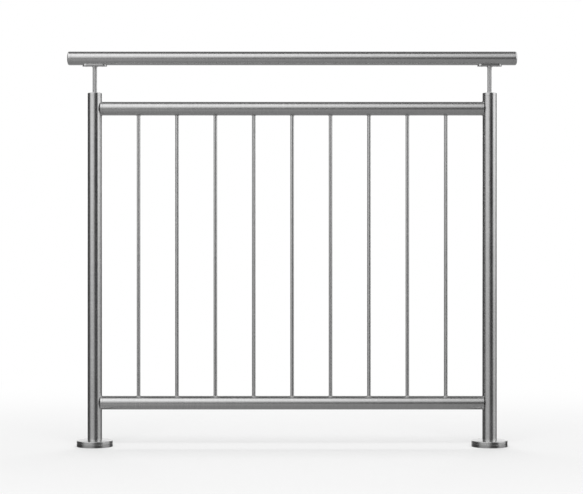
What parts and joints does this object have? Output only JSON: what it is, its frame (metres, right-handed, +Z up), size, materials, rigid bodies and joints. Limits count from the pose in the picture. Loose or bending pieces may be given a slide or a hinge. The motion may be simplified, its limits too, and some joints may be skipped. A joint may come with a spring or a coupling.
{
  "type": "stainless steel balustrade",
  "caption": "Straight balustrade bay: round posts on covered floor flanges, round handrail on pins above them, cross rails and upright round infill rods.",
  "frame": {"origin": "centre of the left base flange's underside, on the floor", "axes": "+X along the bay towards the right post, +Y across the bay away from the viewer, +Z up"},
  "size_m": [1.252, 0.1, 1.1],
  "materials": {
    "tube_steel": "satin, fine grain round the tube",
    "rod_steel": "satin, fine grain round the bar",
    "fitting_steel": "fine turned satin",
    "flange_steel": "fine turned satin"
  },
  "bodies": {
    "root": {"base_flange_left": "flange_steel", "base_flange_right": "flange_steel", "flange_cover_left": "flange_steel", "flange_cover_right": "flange_steel", "post_left": "tube_steel", "post_right": "tube_steel", "post_cap_left": "fitting_steel", "post_cap_right": "fitting_steel", "handrail_pin_left": "rod_steel", "handrail_pin_right": "rod_steel", "saddle_plate_left": "fitting_steel", "saddle_plate_right": "fitting_steel", "handrail": "tube_steel", "handrail_end_cap_left": "fitting_steel", "handrail_end_cap_right": "fitting_steel", "top_rail": "tube_steel", "bottom_rail": "tube_steel", "top_rail_end_fitting_left": "fitting_steel", "top_rail_end_fitting_right": "fitting_steel", "bottom_rail_end_fitting_left": "fitting_steel", "bottom_rail_end_fitting_right": "fitting_steel", "infill_rod_1": "rod_steel", "infill_rod_2": "rod_steel", "infill_rod_3": "rod_steel", "infill_rod_4": "rod_steel", "infill_rod_5": "rod_steel", "infill_rod_6": "rod_steel", "infill_rod_7": "rod_steel", "infill_rod_8": "rod_steel", "infill_rod_9": "rod_steel"}
  },
  "joints": []
}
